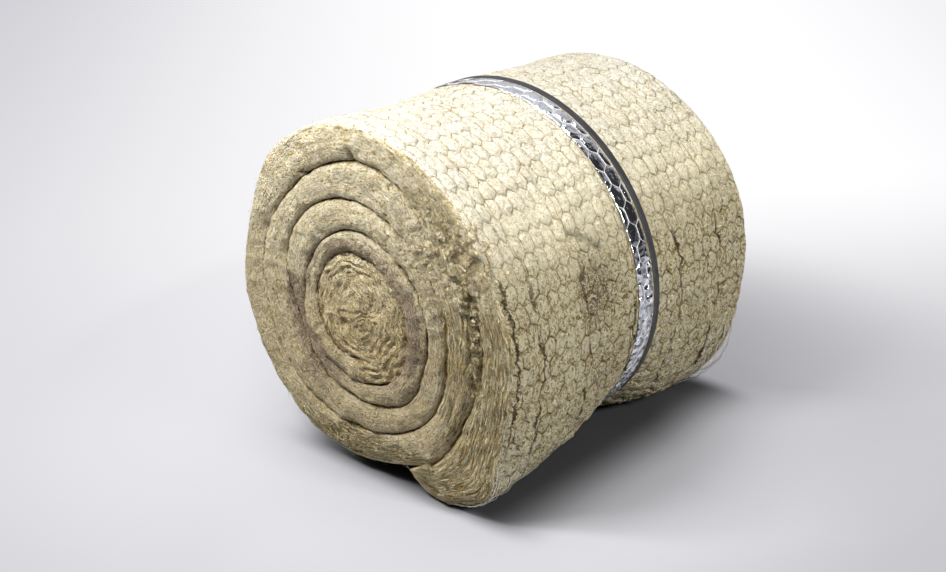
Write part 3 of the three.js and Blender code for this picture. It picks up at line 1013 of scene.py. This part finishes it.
def cut_wool():
    """The cut ends: fibres in thin layers that follow the laps, with greyer bands, and with cracks, pits,
    holes and the lines between laps painted dark as shade.
    """
    n = material("cut_wool")
    place_at, weave = n.place(), n.weave()
    right_m, _, height_m = n.split(place_at)
    across = n.split(weave)[1]
    layered, core, torn, hollow, groove = (
        n.attribute(name) for name in ("layered", "core", "torn", "hollow", "groove"))
    curled = n.noise(1, 5, 0.7, 1.4, vector=n.stretched(weave, (46, 150, 1)))
    layers = n.noise(1, 4, 0.6, 0.8, vector=n.stretched(weave, (26, 330, 1)))
    streaks = n.noise(1, 3, 0.62, 1.3, vector=n.stretched(weave, (105, 340, 1)))
    nodules = n.noise(95, 6, 0.74, 0.8)
    grain = n.noise(270, 3, 0.65, 0.5)
    clumps = n.noise(34, 4, 0.6)
    wisps = n.noise(15, 3, 0.5)

    fine = n.mixed(clumps.ramp(0.36, 0.6, 0.05, 0.5), streaks, grain)
    fine = n.mixed(layered * 0.8, fine, layers)
    broad = n.mixed(clumps.ramp(0.38, 0.62, 0.15, 0.9), curled, nodules)
    broad = n.mixed(layered * 0.6, broad, layers)
    wave = n.math("SINE", across * (2 * math.pi / FOLD_PITCH) + (clumps - 0.5) * 30)
    folded = core * wisps.ramp(0.4, 0.58, 0.4, 0.85)
    broad = n.mixed(folded, broad, wave * 0.11 + 0.5)

    # The painted shade line between two laps, which the lap's own place across says to a millimetre.
    within = across * (1 / MM) % LAP_STEP
    frayed = least(within, LAP_DRAWN - within) + (nodules - 0.5) * 9
    between = frayed.ramp(1.9, 0.3) * groove.ramp(0.05, 0.3) * wisps.ramp(0.36, 0.56, 0.4, 1)

    # Clods in the torn part and in the gap beside it, with the cracks between them painted dark as shade.
    clods = n.cells(n.stretched(place_at, (80, 20, 76)), 1, "DISTANCE_TO_EDGE")
    clods = clods + (nodules - 0.5) * 0.45
    clod_line = clods.ramp(0.075, 0) * most(torn * wisps.ramp(0.4, 0.5, 0.3, 0.8), hollow)

    # The open gap: two edges and rungs between beads of wool, painted dark as shade.
    off_gap = abs(right_m + (clumps - 0.5) * 0.014 - GAP_X * MM)
    edges = abs(off_gap - 0.0075).ramp(0.0025, 0.0008)
    beads = n.math("SINE", height_m * (2 * math.pi / BEAD_PITCH) + clumps * 9)
    rungs = beads.ramp(0.7, 0.95) * off_gap.ramp(0.009, 0.006)

    crack = most(
        span(curled, 0.46, 0.016) * clumps.ramp(0.44, 0.58),
        span(layers, 0.43, 0.022) * (layered * clumps.ramp(0.6, 0.44)),
        wave.ramp(-0.75, -0.98) * (folded * 0.8),
        clod_line, most(edges, rungs) * hollow,
    )
    pit = n.cells(place_at, 85).ramp(0.2, 0) * clumps.ramp(0.52, 0.6)

    # The layered wool and the crumpled start are yellower and a little less bright: partly their own tone,
    # partly painted shade.
    tan = most(layered, core * 0.6)
    middling = n.mixed(tan, (246, 231, 190), (240, 220, 168))
    colour = n.painted(
        # fibre tone, with a painted highlight on the crests of the fine relief
        n.mixed(fine.ramp(0.485, 0.545), middling, n.mixed(tan, (255, 250, 230), (255, 241, 202))),
        # painted shade in the troughs of the fine relief
        (fine.ramp(0.47, 0.4), (186, 156, 96)),
        # painted shade, darker towards the bottom
        (height_m.ramp(0.46, 0.2) * layered.ramp(0.1, 0.6, 0.42, 0.06), (188, 160, 100)),
        # painted shade in the troughs of the broad lumps
        (broad.ramp(0.46, 0.36, 0, 0.6), (156, 124, 68)),
        (grain.ramp(0.42, 0.33, 0, 0.3), (130, 100, 48)),
        (wisps.ramp(0.5, 0.66, 0, 0.2), (200, 178, 124)),
        (n.attribute("taupe") * 0.85, n.mixed(fine.ramp(0.42, 0.56), (124, 105, 86), (194, 174, 150))),
        # painted shade between the torn clumps, and a painted highlight on them
        (torn * nodules.ramp(0.5, 0.4) * 0.15, (128, 102, 54)),
        (torn * nodules.ramp(0.46, 0.56, 0, 0.55), (252, 236, 186)),
        (n.attribute("soiled") * curled.ramp(0.6, 0.42, 0.3, 0.95) * 0.5, (146, 124, 72)),
        # painted shade near the lap edges, then in the cracks, pits, between the laps and in holes
        (groove.ramp(0.1, 0.9, 0, 0.5), (170, 132, 68)),
        (crack * 0.65, (74, 54, 25)),
        (pit * 0.6, (66, 50, 26)),
        (between * 0.85, (56, 38, 16)),
        (n.attribute("dark") * 0.85, (48, 35, 17)),
    )
    normal = n.bumps(
        (broad, 0.03, 1), (fine, 0.014, 1), (crack, -0.004, 1), (between, -0.004, 1),
        (grain, 0.003, 0.9), (pit, -0.005, 1),
    )
    return wool(n, colour, grain, normal)


wool_mat = make_wool_mat([netted_wool(), cut_wool()])
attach(wool_mat, "root")
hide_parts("wool_mat")
WOOL_POINTS = np.array([v.co[:] for v in wool_mat.data.vertices]) / MM


# ---- Knots and fibres that stand out of the near end ----

KNOTS = 150
FIBRES = 2600
TAIL_FIBRES = 260
FIBRE_PARTS = np.linspace(0, 1, 6)


def near_surface(tree, x, z):
    """Places on the near end straight in from the given ones, or None where it isn't met."""
    found = tree.ray_cast(Vector((x, -HALF_WIDTH - 60, z)) * MM, Vector((0, 1, 0)), 0.14)[0]
    return None if found is None else np.array(found) / MM


def wool_knots(tree, random):
    """Small clumps of wool in the torn part of the near end and in the gap beside it."""
    ball = bmesh.new()
    bmesh.ops.create_icosphere(ball, subdivisions=2, radius=1)
    sphere = np.array([v.co[:] for v in ball.verts])
    corners = np.array([[v.index for v in face.verts] for face in ball.faces])
    ball.free()
    points, faces = [], []
    while len(points) < KNOTS:
        if len(points) % 4 == 0:
            x, z = random.normal(GAP_X, 6), random.uniform(208, 380)
        else:
            x, z = random.normal(185, 42), random.normal(428, 40)
        at = near_surface(tree, x, z)
        if at is None or max(near_zones(x, z)) < 0.25:
            continue
        size = random.uniform(1.6, 4.2)
        shape = sphere * size * random.uniform((0.7, 0.5, 0.7), (2, 0.9, 1.3))
        shape = shape * (1 + 0.8 * lumps.layered(*(sphere * 1.5 + len(points) * 7.7).T, layers=2))[:, None]
        spin = random.uniform(0, np.pi)
        turned = np.stack([shape[:, 0] * np.cos(spin) - shape[:, 2] * np.sin(spin), shape[:, 1],
                           shape[:, 0] * np.sin(spin) + shape[:, 2] * np.cos(spin)], -1)
        faces += (corners + len(points) * len(sphere)).tolist()
        points.append(turned + at + (0, size * random.uniform(0.2, 0.6), 0))
    return np.concatenate(points), faces


def wool_fibres(tree, random):
    """Thin fibres that curl out of the near end: along the laps, thickest where it is torn."""
    paths = []
    while len(paths) < FIBRES:
        kind = random.random()
        if kind < 0.45:
            x, z = random.normal(180, 50), random.normal(430, 45)
        elif kind < 0.55:
            x, z = random.normal(GAP_X, 7), random.uniform(200, 380)
        else:
            x, z = random.uniform(-300, 300), random.uniform(5, 590)
        at = near_surface(tree, x, z)
        if at is None:
            continue
        around = math.atan2(z - MIDDLE_Z, x - AXIS_X) + np.pi / 2 + random.normal(0, 0.45)
        reach = random.uniform(5, 19) * FIBRE_PARTS
        heading = around + random.normal(0, 0.35) * FIBRE_PARTS
        stand = random.uniform(0.3, 2.6) * np.sin(np.pi * FIBRE_PARTS * random.uniform(0.4, 1))
        paths.append(at + np.stack([reach * np.cos(heading), -0.2 - stand, reach * np.sin(heading)], -1))
    around = polar(WOOL_POINTS[:, 0], WOOL_POINTS[:, 2])[0] - LOOSE_END_ANGLE
    on_tail = (around < -2.5) & (around > -12) & (WOOL_POINTS[:, 1] < -150) & (WOOL_POINTS[:, 2] < 90)
    tail = WOOL_POINTS[on_tail]
    for at in tail[random.integers(0, len(tail), TAIL_FIBRES)]:
        outwards = math.radians(180 + LOOSE_END_ANGLE + 25 + random.normal(0, 22))
        heading = outwards + random.normal(0, 0.5) * FIBRE_PARTS
        reach = random.uniform(4, 12) * FIBRE_PARTS
        path = at + np.stack([reach * np.cos(heading), reach * random.normal(0, 0.4),
                              reach * np.sin(heading)], -1)
        path[:, 2] = np.maximum(path[:, 2], LEAST_HEIGHT)
        paths.append(path)
    return paths


def loose_wool():
    n = material("loose_wool")
    nodules = n.noise(230, 5, 0.7, 0.8)
    patches = n.noise(60, 3)
    colour = n.painted(n.mixed(nodules.ramp(0.36, 0.6), (138, 114, 64), (236, 224, 188)),
                       (patches.ramp(0.45, 0.65, 0, 0.6), (150, 128, 80)))
    return wool(n, colour, nodules, n.bumps((nodules, 0.005, 1)))


# ---- Wires ----

TWIST_RADIUS = 0.45
TWISTS_PER_SIDE = 1.5
SIDE_PARTS = np.array([0.03, 0.2, 0.36, 0.5, 0.64, 0.8, 0.97])
CROSSING_PARTS = np.array([0.3, 0.7])
RIM_CELLS = 0.3                 # the netting's outermost wires, in cells from the rims
FIRST_ROW, LAST_ROW = 0.02, ROWS - 0.4      # where the netting's wires start and end
FOIL_LIFT = 0.5                 # of the foil over the mat's plain outer face
FOIL_PUFF = 1.7                 # how far the foil stands up between the wires


def wire_places(across, along, lift):
    """Points at a height over the bottoms of the creases where the wires lie."""
    across = np.clip(across, RIM_CELLS, CELLS_ACROSS - RIM_CELLS)
    turn, y, radius = netted_radius(across, along)
    on_foil = smooth((y - WAIST_START + 1) / 2) * smooth((FOIL_END + 1 - y) / 2)
    radius = mix(radius, true_radius(turn, y) + FOIL_LIFT + 1.4, on_foil)
    # Low down at both rims the netting hangs off the wool.
    far_low = 13 * bump(turn, 0.055, 0.05) * smooth((y - 205) / 40)
    near_low = 5 * bump(turn, 0.03, 0.05) * smooth((-215 - y) / 40)
    return place(turn, y, radius + lift + (far_low + near_low))


def tubes(paths, radius, sides):
    """Points and faces of round wires along paths, given as one array [wire, point, xyz]."""
    paths = np.asarray(paths, float)
    ahead = np.gradient(paths, axis=1)
    ahead /= np.linalg.norm(ahead, axis=-1, keepdims=True)
    outward = paths * (1, 0, 1) - (AXIS_X, 0, 280)
    outward -= (outward * ahead).sum(-1, keepdims=True) * ahead
    outward /= np.linalg.norm(outward, axis=-1, keepdims=True)
    sideways = np.cross(ahead, outward)
    turn = 2 * np.pi * np.arange(sides) / sides
    ring = outward[:, :, None] * np.cos(turn)[:, None] + sideways[:, :, None] * np.sin(turn)[:, None]
    points = (paths[:, :, None] + radius * ring).reshape(-1, 3)
    numbers = np.arange(len(points)).reshape(*paths.shape[:2], sides)
    around = np.roll(numbers, -1, 2)
    quads = np.stack([numbers[:, :-1], around[:, :-1], around[:, 1:], numbers[:, 1:]], -1).reshape(-1, 4)
    return points, quads.tolist() + numbers[:, 0, ::-1].tolist() + numbers[:, -1].tolist()


def netting_wires():
    """One wire for each half cell: it runs along a twisted side, crosses to the next and comes back."""
    across, along, sway = [], [], []
    for row in range(ROWS):
        here = np.arange(2 * CELLS_ACROSS)
        here = here + (here % 2 != row % 2)
        there = 2 * np.arange(2 * CELLS_ACROSS) + 1 - here
        for part in SIDE_PARTS:
            across.append(here / 2)
            along.append(np.full(len(here), row + part))
            sway.append(2 * np.pi * TWISTS_PER_SIDE * part + np.pi * (here > there))
        for part in CROSSING_PARTS:
            across.append(mix(here, there, part) / 2)
            along.append(np.full(len(here), row + 1.0))
            sway.append(np.full(len(here), np.nan))
    across, along, sway = (np.array(v).T for v in (across, along, sway))
    plain = np.isnan(sway)
    sway = np.nan_to_num(sway)
    sideways = np.where(plain, 0, TWIST_RADIUS * np.cos(sway)) / MESH_WIDTH
    lift = np.where(plain, 0, TWIST_RADIUS * np.sin(sway)) + np.where(plain, -0.55, -0.6)
    lift = lift + 0.35 * drift(across * 0.8, along * 0.7, 14)
    return tubes(wire_places(across + sideways, np.clip(along, FIRST_ROW, LAST_ROW), lift), 0.38, 3)


def rim_wires():
    """Two twisted wires along each rim."""
    along = np.linspace(FIRST_ROW, LAST_ROW, 700)
    paths = []
    for across in (RIM_CELLS, CELLS_ACROSS - RIM_CELLS):
        for start in (0, np.pi):
            sway = along * 2 * np.pi * 1.3 + start
            sunk = -2.6 + 2.6 * drift(along * 0.9, across, 8)
            path = wire_places(np.full_like(along, across), along, sunk + 0.6 * np.sin(sway))
            path[:, 1] += 0.6 * np.cos(sway) + 1.2 * drift(along * 0.7, across, 3)
            paths.append(path)
    return tubes(paths, 0.42, 4)


def stitch_wires():
    """Wires that sew the netting down along the seams, dipping into the wool."""
    along = np.linspace(0.3, ROWS - 0.5, 900)
    paths = []
    for k, seam in enumerate(SEAMS):
        y = seam_at(seam, along) + 1.2 * drift(along * 0.9, seam, 12)
        lift = 0.8 - 6 * stitch_pull(k, along) + 0.8 * drift(along * 1.3, k * 5, 1)
        paths.append(wire_places((y + HALF_WIDTH) / MESH_WIDTH, along, lift))
    return tubes(paths, 0.4, 3)


def galvanised_wire():
    """Dull and tan where wool clings to it; clean over the foil and where it hangs low."""
    n = material("netting_wire")
    wear = n.noise(90, 3)
    _, depthwise, height_m = n.split(n.place())
    clean = most(abs(depthwise - FOIL_MIDDLE * MM).ramp(0.021, 0.016), height_m.ramp(0.2, 0.12, 0, 0.8))
    colour = n.painted(n.mixed(wear.ramp(0.4, 0.6), (196, 168, 112), (118, 90, 44)), (clean, (222, 218, 212)))
    return n.shade(base_color=colour, metallic=clean.ramp(0, 1, 0, 0.5),
                   specular_ior_level=clean.ramp(0, 1, 0.1, 0.5),
                   roughness=wear.ramp(0.3, 0.75, 0.4, 0.6))


near_tree = BVHTree.FromPolygons([v.co[:] for v in wool_mat.data.vertices],
                                 [tuple(p.vertices) for p in wool_mat.data.polygons])
loose = loose_wool()
knots = add_piece("wool_knots", *wool_knots(near_tree, np.random.default_rng(31)), loose, "wool")
fibres = tubes(wool_fibres(near_tree, np.random.default_rng(32)), 0.2, 3)
add_piece("wool_fibres", *fibres, loose, "wool")
galvanised = galvanised_wire()
add_piece("wire_netting", *netting_wires(), galvanised, "netting_wire")
add_piece("netting_rims", *rim_wires(), galvanised, "netting_wire")
add_piece("stitch_wires", *stitch_wires(), galvanised, "netting_wire")


# ---- The foil strip ----

FOIL_STEPS = 900
FOIL_COLUMNS = 14
FOIL_LENGTH = 0.957             # in turns, from the loose end
FOIL_THICKNESS = 0.3


def from_lattice(turn, y):
    """The cells across and the rows along of a place on the netted face."""
    across, along = (y + HALF_WIDTH) / MESH_WIDTH, turn * ROWS
    for _ in range(6):
        reached, reached_y = on_lattice(across, along)
        across = across - (reached_y - y) / MESH_WIDTH
        along = np.clip(along - (reached - turn) * ROWS, 0, ROWS - 0.01)
    return across, along


def foil_mesh():
    turn = np.linspace(0, FOIL_LENGTH, FOIL_STEPS)[:, None]
    y = np.linspace(WAIST_START, FOIL_END, FOIL_COLUMNS)[None, :]
    turn, y = np.broadcast_arrays(turn, y)
    edge = 1.2 * drift.layered(turn * 60, y * 0, 77, 2) * np.where(y > FOIL_MIDDLE, 1, -1)
    y = y + edge * smooth(np.abs(y - WAIST_START - 17) / 17)
    to_zigzag, to_side = in_cell(*from_lattice(turn, y))[-2:]
    puff = 1 - (1 - clamp01(np.minimum(to_zigzag, to_side) / 7)) ** 3
    crease = np.abs(wrinkles.layered(y / 7, turn * 190, 5, 2))
    low = smooth((0.23 - turn) / 0.06)
    height = FOIL_LIFT + FOIL_PUFF * puff + (0.5 + 1.9 * low) * (crease - 0.3) * (0.4 + puff)
    radius = true_radius(turn, y) + height
    top, under = place(turn, y, radius), place(turn, y, radius - FOIL_THICKNESS)
    numbers = np.arange(turn.size).reshape(turn.shape)
    corners = [numbers[:-1, :-1], numbers[1:, :-1], numbers[1:, 1:], numbers[:-1, 1:]]
    quads = np.stack(corners, -1).reshape(-1, 4)
    faces = quads.tolist() + (quads[:, ::-1] + turn.size).tolist()
    rim = [*numbers[0], *numbers[1:, -1], *numbers[-1, -2::-1], *numbers[-2:0:-1, 0]]
    faces += [[a, b, b + turn.size, a + turn.size] for a, b in zip(rim, rim[1:] + rim[:1])]
    return np.concatenate([top.reshape(-1, 3), under.reshape(-1, 3)]), faces


def crinkled_foil():
    n = material("foil")
    crumple = n.noise(120, 4, 0.55, 0.6)
    sharp = n.cells(n.place(), 75)
    low_down = n.split(n.place())[2].ramp(0.4, 0.28)
    return n.shade(base_color=n.mixed(crumple.ramp(0.3, 0.7), (238, 239, 243), (214, 217, 224)),
                   metallic=1, roughness=crumple.ramp(0.3, 0.7, 0.06, 0.16),
                   normal=n.bumps((sharp, 0.0017, 0.6), (sharp * low_down, 0.006, 1),
                                  (crumple, 0.001, 0.8)))


foil = add_piece("foil_wrap", *foil_mesh(), crinkled_foil(), "foil")
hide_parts("foil_strip")


# ---- The strapping band ----

BAND_STEPS = 480
RIB_PITCH = 1.6


def hull(points):
    """The corners of a taut loop round the given points."""
    ordered = sorted(map(tuple, points))

    def half(some):
        chain = []
        for p in some:
            while len(chain) > 1:
                (ax, az), (bx, bz) = chain[-2], chain[-1]
                if (bx - ax) * (p[1] - az) > (bz - az) * (p[0] - ax):
                    break
                chain.pop()
            chain.append(p)
        return chain[:-1]

    return np.array(half(ordered) + half(ordered[::-1]))


def band_loop():
    """Evenly spaced points of the band's inner line, as x and z, with the way out from each."""
    turn = np.arange(BAND_STEPS) / BAND_STEPS
    section = place(turn, BAND_MIDDLE, true_radius(turn, BAND_MIDDLE))
    # It also goes outside the rough foot of the loose end, which stands a little proud of the mat.
    x, y, z = WOOL_POINTS.T
    foot = WOOL_POINTS[(np.abs(y - BAND_MIDDLE) < BAND_WIDTH / 2 + 2) & (x > 60) & (x < 160) & (z < 60)]
    loop = hull(np.vstack([section, foot])[:, [0, 2]])
    closed = np.vstack([loop, loop[:1]])
    length = np.concatenate([[0], np.cumsum(np.linalg.norm(np.diff(closed, axis=0), axis=1))])
    at = np.linspace(0, length[-1], BAND_STEPS, endpoint=False)
    line = np.stack([np.interp(at, length, closed[:, k]) for k in (0, 1)], -1)
    ahead = np.roll(line, -1, 0) - np.roll(line, 1, 0)
    out = np.stack([ahead[:, 1], -ahead[:, 0]], -1)
    return line, out / np.linalg.norm(out, axis=1, keepdims=True), at


def band_mesh():
    line, out, at = band_loop()
    half = BAND_WIDTH / 2
    section = [(-half, 0), (half, 0), (half, 0.7), (half - 0.5, 1), (0, 1.1), (0.5 - half, 1),
               (-half, 0.7)]
    sway = 0.8 * drift(at / 240, 5, 2)
    rings = []
    for across, lift in section:
        at_lift = line + out * (CLEARANCE + lift * BAND_THICKNESS)
        rings.append(np.stack([at_lift[:, 0], BAND_MIDDLE + across + sway, at_lift[:, 1]], -1))
    rings = np.stack(rings, 1)
    numbers = np.arange(rings.shape[0] * rings.shape[1]).reshape(rings.shape[:2])
    ahead, around = np.roll(numbers, -1, 0), np.roll(numbers, -1, 1)
    quads = np.stack([numbers, around, np.roll(ahead, -1, 1), ahead], -1).reshape(-1, 4)
    uv = np.stack(np.broadcast_arrays(at[:, None] * MM, np.array(section)[:, 0] * MM), -1)
    return rings.reshape(-1, 3), quads.tolist(), uv.reshape(-1, 2)[quads.ravel()]


def ribbed_plastic():
    n = material("strapping")
    rib = n.math("SINE", n.split(n.weave())[0] * (2 * math.pi / (RIB_PITCH * MM)))
    scuff = n.noise(1, 4, 0.6, vector=n.stretched(n.weave(), (25, 420, 1)))
    return n.shade(base_color=n.mixed(scuff.ramp(0.42, 0.72), (26, 25, 27), (54, 53, 56)),
                   specular_ior_level=0.6, roughness=scuff.ramp(0.3, 0.7, 0.3, 0.5),
                   normal=n.bumps((rib, 0.00025, 1), (scuff, 0.0004, 0.6)))


band_points, band_faces, band_uv = band_mesh()
band = add_piece("strapping_band", band_points, band_faces, ribbed_plastic(), "strapping", uv=band_uv)
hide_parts("strap")


# ---- Floor, backdrop and light ----

FLOOR_REACH = 30                # metres


def add_floor():
    """A pale floor that glows as a backdrop for camera rays away from the roll, with a painted fall-off of
    light, and whose colour is painted dark right under the roll as a contact shadow.
    """
    n = material("floor")
    radius = n.out("VectorMath", "Value", {0: n.place()}, operation="LENGTH")
    x, y, _ = n.split(n.place())
    rightwards, forwards = y * 0.69 + x * 0.72, y * -0.72 + x * 0.69
    beside = most(rightwards.ramp(0.24, 0.56) * forwards.ramp(-0.06, 0.12, 0, 0.9),
                  rightwards.ramp(-0.22, -0.5, 0, 0.9))
    radius = most(forwards, 0) * 0.3 + radius
    seen = n.out("LightPath", "Is Camera Ray") * most(radius.ramp(0.42, 0.95), beside)
    # The glow is painted darker towards the front, most towards the front right, as light falling off.
    front = n.painted((216, 216, 221), (rightwards.ramp(-0.95, -0.5), (227, 227, 232)),
                      (rightwards.ramp(-0.1, 0.7), (196, 196, 201)))
    pale = n.painted(
        (200, 200, 206),
        (rightwards.ramp(-1.9, 0.15), (253, 253, 254)), (rightwards.ramp(0.75, 1.6), (238, 238, 241)),
        (forwards.ramp(-1.1, 0.1), front), (forwards.ramp(-0.05, 0.7, 0, 0.5), (184, 184, 190)))
    # Painted contact shadow: the floor's colour goes dark right under the roll.
    under = abs(x - 0.035).ramp(0.31, 0.17) * abs(y).ramp(0.318, 0.27)
    n.shade(roughness=0.9, emission_color=pale, emission_strength=seen,
            base_color=n.painted((152, 152, 156), (under, (42, 42, 43)), (seen, (0, 0, 0))))
    corners = [(a * FLOOR_REACH, b * FLOOR_REACH, 0) for a, b in ((-1, -1), (1, -1), (1, 1), (-1, 1))]
    mesh = bpy.data.meshes.new("floor")
    mesh.from_pydata(corners, [], [(0, 1, 2, 3)])
    mesh.materials.append(n.owner)
    floor = add_object("floor", mesh)


def add_lamp(name, place_m, size, power):
    data = bpy.data.lights.new(name, "AREA")
    data.shape, data.size, data.energy = "DISK", size, power
    lamp = add_object(name, data)
    lamp.location = place_m
    aim = Vector((0, 0, 0.3)) - Vector(place_m)
    lamp.rotation_euler = aim.to_track_quat("-Z", "Y").to_euler()


def add_world():
    """A studio that is bright overhead and behind the roll, and dark low down on the other sides."""
    bpy.context.scene.world = bpy.data.worlds.new("studio")
    n = Nodes(bpy.context.scene.world)
    x, y, z = n.split(n.out("TexCoord", "Generated"))
    backwards, leftwards = x * -0.69 + y * 0.72, x * -0.73 + y * -0.68
    overhead = z.ramp(0.52, 0.72) * (x * -1).ramp(0, 0.35)
    behind = backwards.ramp(0.25, 0.65, 0, 0.7) * z.ramp(-0.02, 0.1)
    beside = leftwards.ramp(0.3, 0.95, 0, 0.25) * z.ramp(0.15, 0.45)
    bright = most(overhead, behind, beside) + 0.03
    n.fill(n.tree.nodes["Background"], {"Color": (245, 245, 250), "Strength": bright})


add_floor()
add_world()
add_lamp("key", (-0.12, -0.9, 1.35), 0.4, 18)
add_lamp("front", (-0.85, -1.2, 1.95), 0.35, 38)
add_lamp("top", (0.1, 0.3, 2.3), 1.3, 18)
add_lamp("side", (2.25, -0.1, 1.5), 0.5, 78)
bpy.context.scene.view_settings.view_transform = "Standard"
